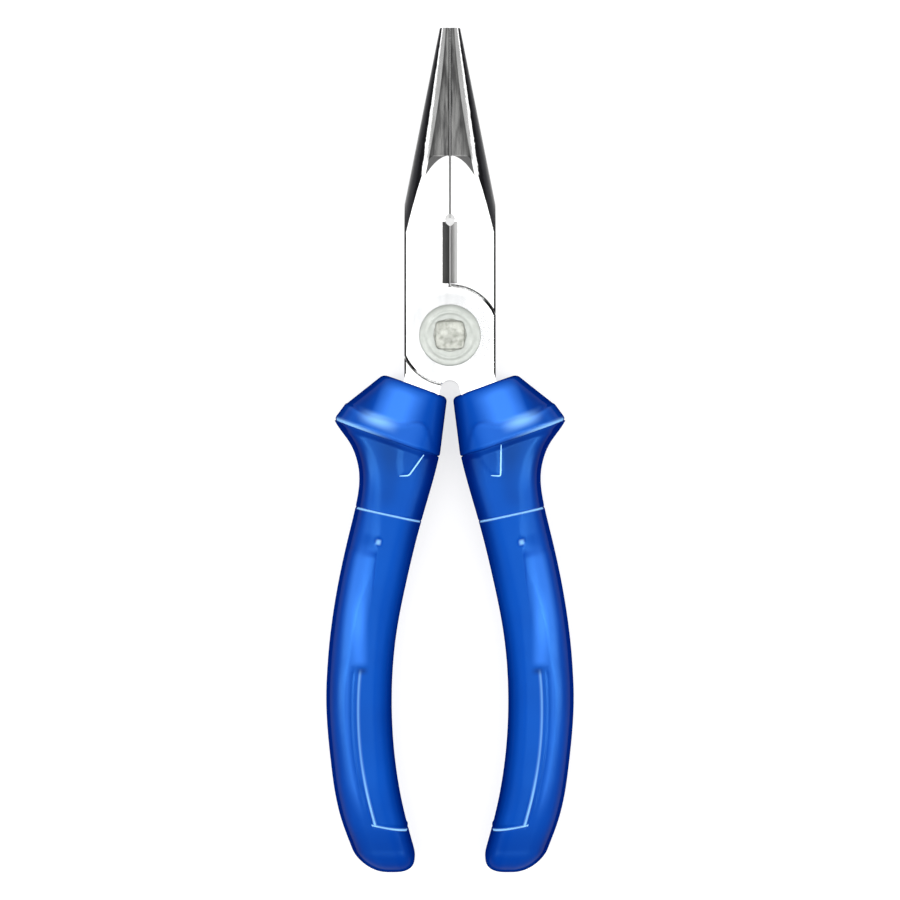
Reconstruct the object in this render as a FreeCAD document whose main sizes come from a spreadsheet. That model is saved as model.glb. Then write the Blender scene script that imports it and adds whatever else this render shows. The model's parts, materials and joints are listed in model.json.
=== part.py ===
"""Long nose pliers with side cutters: crossed forged levers on a squared pivot rivet, with moulded grips.

The pliers lie flat, with the nose towards +Y, the pivot axis along Z and the width along X. Each piece is
drawn about the pivot (pivot axis at X = Y = 0, joint's middle plane at Z = 0), and its Placement then moves
it into the model's frame, whose origin is the centre of the footprint. The rear lever and the left grip are
drawn like the front lever and the right grip, and turned half a turn about Y.
"""

import FreeCAD
import Part
import math
import os

import Sketcher
from FreeCAD import Placement, Rotation, Vector

OUT_FOLDER = "parts"
SHEET_NAME = "Dims"

# alias, millimetres, what it is
DIMENSIONS = [
    ("overall_length", 160.0, "tip to heel"),
    ("tip_reach", 58.4, "pivot axis to the tip"),
    ("joint_thick", 9.0, "both levers at the joint"),
    ("head_half", 8.6, "half the head's width"),
    ("nose_root", 18.0, "pivot axis to where the nose's cone is as wide as the head"),
    ("tip_half", 1.95, "half the width at the tip"),
    ("tip_rise", 1.45, "half the thickness at the tip"),
    ("tip_round", 0.9, "corner radius of the nose at the tip"),
    ("cone_half", 10.0, "half the cone's width at nose_root"),
    ("cone_rise", 6.46, "half the cone's thickness at nose_root"),
    ("cone_round", 5.7, "corner radius of the cone at nose_root"),
    ("tip_gap", 0.03, "from the middle to a jaw's face, at the tip"),
    ("root_gap", 0.06, "from the middle to a jaw's face, at nose_root"),
    ("disc_round", 9.4, "radius of the joint's lapped disc"),
    ("disc_gap", 0.2, "between a disc and the other lever's shoulder"),
    ("lap_gap", 0.06, "between the two lapped discs"),
    ("crotch_round", 1.9, "radius of the notch between the handles"),
    ("crotch_drop", 10.3, "pivot axis to the notch's centre"),
    ("edge_break", 0.35, "chamfer on the head's outer edges"),
    ("face_break", 0.25, "chamfer on the jaw faces' edges"),
    ("cut_start", 9.75, "pivot axis to the near end of the cutting edge"),
    ("cut_end", 21.4, "pivot axis to the far end of the cutting edge"),
    ("cut_open", 1.45, "from the middle to the cutter's bevel, at the surface"),
    ("cut_gap", 0.02, "from the middle to a cutting edge"),
    ("relief_reach", 21.9, "pivot axis to the relief hole past the cutter"),
    ("relief_round", 0.95, "radius of the relief hole"),
    ("tooth_first", 25.0, "pivot axis to the first tooth groove"),
    ("tooth_pitch", 1.04, "between tooth grooves"),
    ("tooth_deep", 0.24, "depth of a tooth groove"),
    ("tooth_margin", 0.42, "from a groove's end to the jaw's front or back"),
    ("root_drop", 12.5, "pivot axis to where the full thickness of a handle ends"),
    ("root_slant", 0.6, "how far a handle's inner side leans out, down to root_drop"),
    ("root_flare", 1.2, "how far a handle's outer side flares, down to root_drop"),
    ("flare_start", 8.3, "pivot axis to where the flare starts"),
    ("tang_lap", 1.5, "how far a tang reaches up into the full thickness"),
    ("tang_top_in", 0.4, "from the notch's side to the tang's inner edge, at its top"),
    ("tang_top_out", 0.6, "from the head's side to the tang's outer edge, at its top"),
    ("tang_thick", 6.0, "thickness of a handle inside its grip"),
    ("tang_neck_drop", 26.0, "pivot axis to the handle's neck"),
    ("tang_neck_in", 6.5, "inner edge of the handle at its neck"),
    ("tang_neck_out", 13.4, "outer edge of the handle at its neck"),
    ("tang_bow_drop", 69.5, "pivot axis to the handle's widest bow"),
    ("tang_bow_in", 14.3, "inner edge of the handle at its bow"),
    ("tang_bow_out", 20.3, "outer edge of the handle at its bow"),
    ("tang_end_drop", 89.0, "pivot axis to the handle's end"),
    ("tang_end_in", 12.8, "inner edge of the handle at its end"),
    ("tang_end_out", 17.6, "outer edge of the handle at its end"),
    ("tang_bend_up", 128.0, "bend radius of the handle above its bow"),
    ("tang_bend_down", 96.0, "bend radius of the handle below its bow"),
    ("rivet_round", 3.0, "radius of the rivet's shank"),
    ("rivet_fit", 0.03, "radial clearance of the shank in the moving lever"),
    ("rivet_head", 5.8, "radius of the rivet's head and of the washer"),
    ("rivet_head_thick", 1.05, "rise of the rivet's domed head"),
    ("washer_thick", 0.6, "thickness of the washer"),
    ("washer_break", 0.25, "chamfer on the washer's rim"),
    ("seat_gap", 0.02, "between the head or the washer and a lever"),
    ("square_half", 2.75, "half the width of the rivet's squared end"),
    ("square_round", 1.0, "corner radius of the squared end"),
    ("square_rise", 0.5, "rise of the squared end above the washer"),
    ("square_break", 0.18, "chamfer on the squared end"),
    ("grip_half_thick", 6.75, "half the thickness of a grip at its rim and palm"),
    ("grip_wall", 1.2, "thickness of a soft inlay"),
    ("inlay_gap", 0.1, "seam between an inlay and its sleeve"),
    ("collar_tilt", 20.0, "degrees between a collar's axis and the pliers' length"),
    ("mouth_across", 6.56, "middle to the centre of a grip's mouth"),
    ("mouth_drop", 9.5, "pivot axis to the centre of a grip's mouth"),
    ("ridge_top_across", 12.7, "inlay's outer seam at its top"),
    ("ridge_top_drop", 33.2, "pivot axis to the inlay's top corner"),
    ("ridge_mid_across", 14.9, "seam where it starts to bow"),
    ("ridge_mid_drop", 52.0, "pivot axis to where the seam starts to bow"),
    ("ridge_bow_across", 17.7, "inlay's outer seam at its bow"),
    ("ridge_bow_drop", 70.0, "pivot axis to the seam's bow"),
    ("ridge_end_across", 14.4, "inlay's outer seam at its end"),
    ("ridge_end_drop", 92.2, "pivot axis to the inlay's bottom corner"),
    ("ridge_bend_up", 75.0, "bend radius of the seam above its bow"),
    ("ridge_bend_down", 85.0, "bend radius of the seam below its bow"),
    ("inlay_top_fall", 2.75, "how far the inlay's top edge falls by the middle"),
    ("inlay_end_fall", 2.85, "how far the inlay's bottom edge falls by the middle"),
]

# Cross-sections down a grip: name, distance below the pivot axis, inner side, outer side, half thickness.
GRIP_STATIONS = [
    ("root", 15.6, 1.2, 21.2, 5.75),
    ("flare", 18.0, 1.45, 20.5, 5.75),
    ("throat", 20.2, 1.75, 19.0, 5.75),
    ("neck", 23.4, 2.25, 17.7, 5.75),
    ("waist", 27.5, 3.25, 17.2, 5.8),
    ("shoulder", 35.0, 5.45, 18.5, 6.1),
    ("rise", 46.0, 8.25, 21.1, 6.6),
    ("palm", 58.0, 10.6, 22.9, 6.9),
    ("bow", 69.5, 11.2, 23.4, 6.95),
    ("belly", 81.0, 10.5, 22.55, 6.85),
    ("taper", 91.0, 8.75, 20.65, 6.4),
    ("heel", 96.8, 7.15, 18.55, 5.6),
    ("toe", 100.0, 6.95, 16.1, 4.0),
    ("end", 101.6, 8.9, 13.4, 2.0),
]

# Cross-sections down a collar's own tilted axis:
# name, distance below its mouth, inner side, outer side, half thickness.
COLLAR_STATIONS = [
    ("mouth", 0.0, -6.4, 6.4, 5.5),
    ("cone", 8.1, -8.2, 11.1, 6.4),
    ("rim", 8.8, -8.6, 11.8, 6.75),
    ("lip", 11.1, -9.0, 12.0, 6.75),
]
TOOTH_GROUPS = 8
TEETH_IN_GROUP = 4
TOOTH_SPREAD = 1.1  # half a tooth groove's width over its depth
CORNER_SHARE = 0.72  # a grip section's corner radius over its half thickness
COLLAR_CORNER_SHARE = 0.62
TANG_END_SHARE = 0.52  # the radius of a handle's end over its width
HEAD_RIM_SHARE = 0.4  # the straight rim of the rivet's head over its rise
PAST = 1.0  # how far a cutting outline runs past the solid it cuts
SHORTEST_SEAM = 5.0  # long edges of the faces on the middle plane are longer than this


class Size:
    """A size that knows its number and the expression that ties it to the sheet."""

    def __init__(self, value, text=None):
        self.value = float(value)
        self.text = repr(float(value)) if text is None else text

    def __add__(self, other):
        other = as_size(other)
        return Size(self.value + other.value, f"({self.text} + {other.text})")

    def __sub__(self, other):
        other = as_size(other)
        return Size(self.value - other.value, f"({self.text} - {other.text})")

    def __mul__(self, other):
        other = as_size(other)
        return Size(self.value * other.value, f"({self.text} * {other.text})")

    def __truediv__(self, other):
        other = as_size(other)
        return Size(self.value / other.value, f"({self.text} / {other.text})")

    def __neg__(self):
        return Size(-self.value, f"(0 - {self.text})")

    def __radd__(self, other):
        return as_size(other) + self

    def __rsub__(self, other):
        return as_size(other) - self

    def __rmul__(self, other):
        return as_size(other) * self


def as_size(number):
    return number if isinstance(number, Size) else Size(number)


def root(size):
    """The square root of a size, as a size."""
    return Size(math.sqrt(size.value), f"sqrt({size.text})")


def smaller(first, second):
    """The smaller of two sizes, as a size."""
    return Size(min(first.value, second.value), f"min({first.text}; {second.text})")


class Dims:
    """The sheet's sizes by alias: d.head_half is bound to the cell of that alias."""

    def __init__(self, doc):
        sheet = doc.addObject("Spreadsheet::Sheet", SHEET_NAME)
        rows = list(DIMENSIONS)
        for owner, stations in (("grip", GRIP_STATIONS), ("collar", COLLAR_STATIONS)):
            for name, drop, inner, outer, rise in stations:
                rows += [
                    (f"{owner}_{name}_drop", drop, "distance down"),
                    (f"{owner}_{name}_inner", inner, "inner side"),
                    (f"{owner}_{name}_outer", outer, "outer side"),
                    (f"{owner}_{name}_rise", rise, "half thickness"),
                ]
        for row, (alias, value, note) in enumerate(rows, start=1):
            sheet.set(f"A{row}", alias)
            sheet.set(f"B{row}", str(value))
            sheet.set(f"C{row}", note)
            sheet.setAlias(f"B{row}", alias)
            setattr(self, alias, Size(value, f"{SHEET_NAME}.{alias}"))
        doc.recompute()

    def of(self, alias):
        return getattr(self, alias)


def origin_part(body, role):
    """One of the planes or axes of a body's origin."""
    return next(f for f in body.Origin.OriginFeatures if f.Role == role)


def new_sketch(body, name, plane, shift=None, tilt=None):
    """A sketch on a plane of its body's origin.

    It is shifted by (x, y, out) in the plane's own axes, and turned by tilt about its own upright.
    """
    sketch = body.newObject("Sketcher::SketchObject", name)
    sketch.AttachmentSupport = [(origin_part(body, plane), "")]
    sketch.MapMode = "FlatFace"
    if tilt is not None:
        sketch.AttachmentOffset = Placement(Vector(), Rotation(Vector(0, 1, 0), tilt.value))
        sketch.setExpression(".AttachmentOffset.Rotation.Angle", tilt.text)
    for axis, size in zip("xyz", shift or ()):
        size = as_size(size)
        if size.value:
            sketch.setExpression(f".AttachmentOffset.Base.{axis}", size.text)
    return sketch


def arc_between(start, end, radius, turn):
    """The short arc from start to end, as drawn; turn is 1 anticlockwise and -1 clockwise."""
    middle = (start + end) * 0.5
    along = end - start
    rise = math.sqrt(max(radius**2 - (along.Length / 2) ** 2, 0.0))
    centre = middle + Vector(-along.y, along.x, 0).normalize() * rise * turn
    first, last = (start, end) if turn > 0 else (end, start)
    angles = [math.atan2(p.y - centre.y, p.x - centre.x) for p in (first, last)]
    return Part.ArcOfCircle(Part.Circle(centre, Vector(0, 0, 1), radius), *angles)


def pin_point(sketch, index, end, x, y):
    """Ties a point to its distances from the sketch's origin."""
    for kind, size, axis in (("DistanceX", x, -2), ("DistanceY", y, -1)):
        if size.text == Size(0).text:
            sketch.addConstraint(Sketcher.Constraint("PointOnObject", index, end, axis))
            continue
        number = sketch.addConstraint(Sketcher.Constraint(kind, index, end, size.value))
        sketch.setExpression(f"Constraints[{number}]", size.text)


def outline(sketch, corners):
    """A closed outline through corners (x, y) or (x, y, radius, turn).

    With a radius and a turn, the side that follows the corner is an arc.
    """
    points = [(as_size(c[0]), as_size(c[1])) for c in corners]
    base = sketch.GeometryCount
    count = len(corners)
    ends = []
    for i, corner in enumerate(corners):
        start, end = (Vector(x.value, y.value, 0) for x, y in (points[i], points[(i + 1) % count]))
        if len(corner) == 2:
            sketch.addGeometry(Part.LineSegment(start, end), False)
            ends.append((1, 2))
        else:
            radius, turn = as_size(corner[2]), corner[3]
            sketch.addGeometry(arc_between(start, end, radius.value, turn), False)
            ends.append((1, 2) if turn > 0 else (2, 1))
    for i in range(count):
        following = (i + 1) % count
        sketch.addConstraint(
            Sketcher.Constraint("Coincident", base + i, ends[i][1], base + following, ends[following][0])
        )
    for i, (x, y) in enumerate(points):
        pin_point(sketch, base + i, ends[i][0], x, y)
    for i, corner in enumerate(corners):
        if len(corner) > 2:
            radius = as_size(corner[2])
            number = sketch.addConstraint(Sketcher.Constraint("Radius", base + i, radius.value))
            sketch.setExpression(f"Constraints[{number}]", radius.text)


def circle(sketch, x, y, radius):
    """A circle tied to its centre and radius."""
    x, y, radius = as_size(x), as_size(y), as_size(radius)
    index = sketch.addGeometry(
        Part.Circle(Vector(x.value, y.value, 0), Vector(0, 0, 1), radius.value), False
    )
    pin_point(sketch, index, 3, x, y)
    number = sketch.addConstraint(Sketcher.Constraint("Radius", index, radius.value))
    sketch.setExpression(f"Constraints[{number}]", radius.text)


def rounded_box(sketch, left, right, rise, corner):
    """A rectangle from left to right and rise either side of the middle, with rounded corners."""
    outline(
        sketch,
        [
            (left + corner, -rise),
            (right - corner, -rise, corner, 1),
            (right, corner - rise),
            (right, rise - corner, corner, 1),
            (right - corner, rise),
            (left + corner, rise, corner, 1),
            (left, rise - corner),
            (left, corner - rise, corner, 1),
        ],
    )


def feature(body, kind, name, profile, length, both_ways=False, backwards=False):
    """A Pad or Pocket of a sketch."""
    made = body.newObject(f"PartDesign::{kind}", name)
    made.Profile = profile
    made.SideType = "Symmetric" if both_ways else "One side"
    made.Reversed = backwards
    made.setExpression("Length", as_size(length).text)
    body.Document.recompute()
    return made


def loft(body, name, sections, ruled):
    """A loft through sketches, straight between them if ruled."""
    made = body.newObject("PartDesign::AdditiveLoft", name)
    made.Profile = sections[0]
    made.Sections = sections[1:]
    made.Ruled = ruled
    body.Document.recompute()
    return made


def break_edges(body, name, size, wanted, kind="Chamfer"):
    """A chamfer or fillet on the body's edges that wanted(edge) picks."""
    base = body.Tip
    names = [f"Edge{i}" for i, edge in enumerate(base.Shape.Edges, start=1) if wanted(edge)]
    if not names:
        raise ValueError(f"{name}: no edge to break")
    made = body.newObject(f"PartDesign::{kind}", name)
    made.Base = (base, names)
    made.setExpression("Size" if kind == "Chamfer" else "Radius", size.text)
    body.Document.recompute()
    return made


def middle_of(edge):
    return edge.valueAt((edge.FirstParameter + edge.LastParameter) / 2)


def near(a, b, within=0.02):
    return abs(a - b) < within


# ---------------------------------------------------------------- the levers


def add_nose(body, d):
    """The cone of both jaws, trimmed to the head's slab and then to the left jaw."""
    tip = new_sketch(body, "nose_tip", "XZ_Plane", (0, 0, -d.tip_reach))
    rounded_box(tip, -d.tip_half, d.tip_half, d.tip_rise, d.tip_round)
    base = new_sketch(body, "nose_base", "XZ_Plane", (0, 0, -d.nose_root))
    rounded_box(base, -d.cone_half, d.cone_half, d.cone_rise, d.cone_round)
    loft(body, "nose_cone", [tip, base], ruled=True)

    slab = new_sketch(body, "slab_section", "XZ_Plane")
    rise = d.joint_thick / 2
    outline(slab, [(-d.head_half, -rise), (d.head_half, -rise), (d.head_half, rise), (-d.head_half, rise)])
    past = d.cone_half + PAST
    outline(slab, [(-past, -past), (past, -past), (past, past), (-past, past)])
    feature(body, "Pocket", "slab_trim", slab, d.tip_reach + PAST)

    half = new_sketch(body, "right_half", "XY_Plane")
    outline(
        half,
        [
            (-d.root_gap, d.nose_root - PAST),
            (past, d.nose_root - PAST),
            (past, d.tip_reach + PAST),
            (-d.tip_gap, d.tip_reach + PAST),
            (-d.tip_gap, d.tip_reach),
            (-d.root_gap, d.nose_root),
        ],
    )
    feature(body, "Pocket", "jaw_face", half, past * 2, both_ways=True)


def add_joint(body, d):
    """The lapped disc on the front half, and the jaw's base, with the full thickness outside the disc."""
    rise = d.joint_thick / 2
    shoulder = d.disc_round + d.disc_gap
    side_y = root(d.disc_round * d.disc_round - d.head_half * d.head_half)
    crotch_y = (d.crotch_round * d.crotch_round - d.disc_round * d.disc_round
                - d.crotch_drop * d.crotch_drop) / (2 * d.crotch_drop)
    crotch_x = root(d.disc_round * d.disc_round - crotch_y * crotch_y)

    disc = new_sketch(body, "disc_outline", "XY_Plane", (0, 0, d.lap_gap / 2))
    outline(
        disc,
        [
            (-d.head_half, d.nose_root),
            (-d.head_half, -side_y, d.disc_round, 1),
            (-crotch_x, crotch_y, d.crotch_round, -1),
            (d.crotch_round, -d.crotch_drop),
            (d.crotch_round + d.root_slant, -d.root_drop),
            (d.head_half + d.root_flare, -d.root_drop),
            (d.head_half, -d.flare_start),
            (d.head_half, side_y, d.disc_round, 1),
            (-d.root_gap, root(d.disc_round * d.disc_round - d.root_gap * d.root_gap)),
            (-d.root_gap, d.nose_root),
        ],
    )
    feature(body, "Pad", "lapped_disc", disc, rise - d.lap_gap / 2)

    far_side = root(shoulder * shoulder - d.head_half * d.head_half)
    far_face = root(shoulder * shoulder - d.root_gap * d.root_gap)
    jaw = new_sketch(body, "jaw_base_outline", "XY_Plane")
    outline(
        jaw,
        [
            (-d.root_gap, d.nose_root),
            (-d.head_half, d.nose_root),
            (-d.head_half, far_side, shoulder, -1),
            (-d.root_gap, far_face),
        ],
    )
    feature(body, "Pad", "jaw_base", jaw, d.joint_thick, both_ways=True)


def add_handle_root(body, d):
    """The full thickness of the handle between the lapped disc and the grip."""
    shoulder = d.disc_round + d.disc_gap
    far_side = root(shoulder * shoulder - d.head_half * d.head_half)
    far_y = (d.crotch_round * d.crotch_round - shoulder * shoulder
             - d.crotch_drop * d.crotch_drop) / (2 * d.crotch_drop)
    far_x = root(shoulder * shoulder - far_y * far_y)
    handle = new_sketch(body, "handle_root_outline", "XY_Plane")
    outline(
        handle,
        [
            (far_x, far_y, d.crotch_round, -1),
            (d.crotch_round, -d.crotch_drop),
            (d.crotch_round + d.root_slant, -d.root_drop),
            (d.head_half + d.root_flare, -d.root_drop),
            (d.head_half, -d.flare_start),
            (d.head_half, -far_side, shoulder, -1),
        ],
    )
    feature(body, "Pad", "handle_root", handle, d.joint_thick, both_ways=True)


def add_tang(body, d):
    """The bowed strip of steel that a grip is moulded on."""
    tang = new_sketch(body, "tang_outline", "XY_Plane")
    top = d.tang_lap - d.root_drop
    end_round = (d.tang_end_out - d.tang_end_in) * TANG_END_SHARE
    outline(
        tang,
        [
            (d.crotch_round + d.tang_top_in, top),
            (d.tang_neck_in, -d.tang_neck_drop, d.tang_bend_up, -1),
            (d.tang_bow_in, -d.tang_bow_drop, d.tang_bend_down, -1),
            (d.tang_end_in, -d.tang_end_drop, end_round, 1),
            (d.tang_end_out, -d.tang_end_drop, d.tang_bend_down, 1),
            (d.tang_bow_out, -d.tang_bow_drop, d.tang_bend_up, 1),
            (d.tang_neck_out, -d.tang_neck_drop),
            (d.head_half + d.tang_top_out, top),
        ],
    )
    feature(body, "Pad", "tang", tang, d.tang_thick, both_ways=True)


def add_cutter(body, d):
    """The cutter's two bevels, which meet at an edge on the middle plane, and the relief hole past them."""
    past = d.joint_thick / 2 + PAST
    reach = d.cut_gap + (d.cut_open - d.cut_gap) * past / (d.joint_thick / 2)
    bevel = new_sketch(body, "bevel_section", "XZ_Plane", (0, 0, -d.cut_start))
    outline(bevel, [(PAST, -past), (PAST, past), (-reach, past), (-d.cut_gap, 0), (-reach, -past)])
    feature(body, "Pocket", "cutter_bevels", bevel, d.cut_end - d.cut_start)
    hole = new_sketch(body, "relief_circle", "XY_Plane")
    circle(hole, 0, d.relief_reach, d.relief_round)
    feature(body, "Pocket", "relief", hole, d.joint_thick * 2, both_ways=True)


def tooth_groove(d, y):
    """One groove's triangle across a jaw's face, as seen along Z, with its open side past the face."""
    half = d.tooth_deep * TOOTH_SPREAD
    return [
        (PAST, y - half),
        (PAST, y + half),
        (-d.root_gap, y + half),
        (-(d.root_gap + d.tooth_deep), y),
        (-d.root_gap, y - half),
    ]


def add_teeth(body, d):
    """Fine grooves across the jaw's gripping face, in groups that stop short of its front and back."""
    slope = (d.cone_rise - d.tip_rise) / (d.tip_reach - d.nose_root)
    for group in range(TOOTH_GROUPS):
        first = d.tooth_first + d.tooth_pitch * (group * TEETH_IN_GROUP)
        last = first + d.tooth_pitch * (TEETH_IN_GROUP - 1)
        rise = smaller(d.tip_rise + slope * (d.tip_reach - last), d.joint_thick / 2)
        sketch = new_sketch(body, f"grooves_{group}", "XY_Plane")
        for tooth in range(TEETH_IN_GROUP):
            outline(sketch, tooth_groove(d, first + d.tooth_pitch * tooth))
        feature(body, "Pocket", f"teeth_{group}", sketch, (rise - d.tooth_margin) * 2, both_ways=True)


def build_lever(doc, name, d, bore):
    """One forging: left jaw, front half of the joint and right handle."""
    body = doc.addObject("PartDesign::Body", name)
    add_nose(body, d)
    add_joint(body, d)
    add_handle_root(body, d)
    add_tang(body, d)
    pivot = new_sketch(body, "pivot_circle", "XY_Plane")
    circle(pivot, 0, 0, bore)
    feature(body, "Pocket", "pivot_bore", pivot, d.joint_thick * 2, both_ways=True)

    rise = d.joint_thick.value / 2

    def head_edge(edge):
        """An edge of the head's outline on its two flat faces."""
        p = middle_of(edge)
        flat = all(near(abs(v.Point.z), rise) for v in edge.Vertexes) and near(abs(p.z), rise)
        outside = near(abs(p.x), d.head_half.value) or near(math.hypot(p.x, p.y), d.disc_round.value)
        return flat and outside and p.y > -d.root_drop.value

    break_edges(body, "head_chamfer", d.edge_break, head_edge)

    def jaw_edge(edge):
        """A long edge of the faces that meet on the middle plane."""
        p = middle_of(edge)
        middle = abs(p.x) < 2 * d.root_gap.value and abs(p.z) > d.tip_rise.value / 2
        return middle and p.y > d.disc_round.value and edge.Length > SHORTEST_SEAM

    break_edges(body, "jaw_chamfer", d.face_break, jaw_edge)
    add_cutter(body, d)
    add_teeth(body, d)
    return body


# ---------------------------------------------------------------- the rivet


def build_rivet(doc, name, d):
    """A shank with a domed head behind and a squared, peened end in front."""
    body = doc.addObject("PartDesign::Body", name)
    rise = d.joint_thick / 2
    under = -(rise + d.seat_gap)
    top = rise + d.seat_gap + d.washer_thick
    shank = new_sketch(body, "shank_circle", "XY_Plane", (0, 0, under))
    circle(shank, 0, 0, d.rivet_round)
    feature(body, "Pad", "shank", shank, top - under)

    profile = new_sketch(body, "head_profile", "XZ_Plane")
    edge = d.rivet_head_thick * HEAD_RIM_SHARE
    dome = d.rivet_head_thick - edge
    swell = (d.rivet_head * d.rivet_head + dome * dome) / (2 * dome)
    outline(
        profile,
        [
            (0, under),
            (0, under - d.rivet_head_thick, swell, 1),
            (d.rivet_head, under - edge),
            (d.rivet_head, under),
        ],
    )
    head = body.newObject("PartDesign::Revolution", "domed_head")
    head.Profile = profile
    head.ReferenceAxis = (profile, ["V_Axis"])
    head.Angle = 360
    doc.recompute()

    square = new_sketch(body, "square_outline", "XY_Plane", (0, 0, top))
    rounded_box(square, -d.square_half, d.square_half, d.square_half, d.square_round)
    feature(body, "Pad", "squared_end", square, d.square_rise)
    peak = (top + d.square_rise).value

    def top_edge(edge):
        return all(near(vertex.Point.z, peak) for vertex in edge.Vertexes)

    break_edges(body, "square_chamfer", d.square_break, top_edge)
    return body


def build_washer(doc, name, d):
    """The round washer under the rivet's squared end."""
    body = doc.addObject("PartDesign::Body", name)
    ring = new_sketch(body, "ring_outline", "XY_Plane", (0, 0, d.joint_thick / 2 + d.seat_gap))
    circle(ring, 0, 0, d.rivet_head)
    circle(ring, 0, 0, d.rivet_round + d.seat_gap)
    feature(body, "Pad", "ring", ring, d.washer_thick)
    top = (d.joint_thick / 2 + d.seat_gap + d.washer_thick).value

    def rim(edge):
        return near(edge.Vertexes[0].Point.z, top) and near(edge.Curve.Radius, d.rivet_head.value)

    break_edges(body, "rim_chamfer", d.washer_break, rim)
    return body


# ---------------------------------------------------------------- the grips


def sizes_of(d, owner, station):
    """A station's distance down, inner side, outer side and half thickness."""
    return [d.of(f"{owner}_{station}_{key}") for key in ("drop", "inner", "outer", "rise")]


def add_collar(body, name, d):
    """The flared collar at a grip's mouth, on its own tilted axis."""
    tilt = d.collar_tilt
    sine = Size(math.sin(math.radians(tilt.value)), f"sin({tilt.text} * 1 deg)")
    cosine = Size(math.cos(math.radians(tilt.value)), f"cos({tilt.text} * 1 deg)")
    rings = []
    for station, *_ in COLLAR_STATIONS:
        drop, inner, outer, rise = sizes_of(d, "collar", station)
        shift = (d.mouth_across + drop * sine, 0, d.mouth_drop + drop * cosine)
        ring = new_sketch(body, f"{name}_{station}", "XZ_Plane", shift, tilt)
        rounded_box(ring, inner, outer, rise, rise * COLLAR_CORNER_SHARE)
        rings.append(ring)
    loft(body, f"{name}_collar", rings, ruled=True)


def trim_flats(body, name, d, rise):
    """Trims a grip to a flat front and back."""
    flats = new_sketch(body, f"{name}_flats", "YZ_Plane")
    far = d.overall_length
    past = d.grip_half_thick * 2
    for side in (1, -1):
        low, high = rise * side, past * side
        outline(flats, [(-far, low), (0, low), (0, high), (-far, high)])
    feature(body, "Pocket", f"{name}_flat_cut", flats, far, both_ways=True)


def build_grip_form(doc, name, d, inset, with_collar):
    """A grip's outside, or with an inset the form that lies that far under it."""
    body = doc.addObject("PartDesign::Body", name)
    stations = GRIP_STATIONS if with_collar else GRIP_STATIONS[:-1]
    sections = []
    for station, *_ in stations:
        drop, inner, outer, rise = sizes_of(d, "grip", station)
        section = new_sketch(body, f"{name}_{station}", "XZ_Plane", (0, 0, drop))
        rounded_box(section, inner + inset, outer - inset, rise - inset, (rise - inset) * CORNER_SHARE)
        sections.append(section)
    loft(body, f"{name}_loft", sections, ruled=False)
    if with_collar:
        add_collar(body, name, d)
    trim_flats(body, name, d, d.grip_half_thick - inset)
    return body


def build_inlay_block(doc, name, d, grow):
    """The upright block, inside the seam's outline, that an inlay or its pocket (with grow) is cut from."""
    body = doc.addObject("PartDesign::Body", name)
    sketch = new_sketch(body, f"{name}_outline", "XY_Plane")
    outline(
        sketch,
        [
            (0, -(d.ridge_top_drop + d.inlay_top_fall - grow)),
            (0, -(d.ridge_end_drop + d.inlay_end_fall + grow)),
            (d.ridge_end_across + grow, -(d.ridge_end_drop + grow), d.ridge_bend_down, 1),
            (d.ridge_bow_across + grow, -d.ridge_bow_drop, d.ridge_bend_up, 1),
            (d.ridge_mid_across + grow, -d.ridge_mid_drop),
            (d.ridge_top_across + grow, -(d.ridge_top_drop - grow)),
        ],
    )
    feature(body, "Pad", f"{name}_pad", sketch, d.grip_half_thick * 4, both_ways=True)
    return body


def build_cavity(doc, name, d):
    """The room that a handle takes inside its sleeve."""
    body = doc.addObject("PartDesign::Body", name)
    add_handle_root(body, d)
    add_tang(body, d)
    return body


def boolean(doc, kind, name, base, tool):
    """A Cut or Common of two shapes."""
    made = doc.addObject(f"Part::{kind}", name)
    made.Base = base
    made.Tool = tool
    return made


def build_grip(doc, side, d):
    """A hard sleeve moulded on a lever, and the soft inlay let into its inner side."""
    outside = build_grip_form(doc, f"{side}_outside", d, Size(0), with_collar=True)
    pocket_floor = build_grip_form(doc, f"{side}_floor", d, d.grip_wall + d.inlay_gap, with_collar=False)
    inlay_back = build_grip_form(doc, f"{side}_back", d, d.grip_wall, with_collar=False)
    pocket_block = build_inlay_block(doc, f"{side}_pocket_block", d, d.inlay_gap)
    inlay_block = build_inlay_block(doc, f"{side}_inlay_block", d, Size(0))
    cavity = build_cavity(doc, f"{side}_cavity", d)

    pocket = boolean(doc, "Cut", f"{side}_pocket", pocket_block, pocket_floor)
    bare = boolean(doc, "Cut", f"{side}_bare_sleeve", outside, pocket)
    sleeve = boolean(doc, "Cut", f"{side}_grip_sleeve", bare, cavity)
    rind = boolean(doc, "Common", f"{side}_rind", outside, inlay_block)
    inlay = boolean(doc, "Cut", f"{side}_grip_inlay", rind, inlay_back)
    doc.recompute()
    return sleeve, inlay


# ---------------------------------------------------------------- the assembly


def place(piece, label, d, turned=False):
    """Names a piece and moves it from the pivot's frame into the model's."""
    piece.Label = label
    ahead = d.overall_length / 2 - d.tip_reach
    half_turn = Rotation(Vector(0, 1, 0), 180 if turned else 0)
    piece.Placement = Placement(Vector(0, ahead.value, d.grip_half_thick.value), half_turn)
    piece.setExpression(".Placement.Base.y", ahead.text)
    piece.setExpression(".Placement.Base.z", d.grip_half_thick.text)
    return piece


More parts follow.
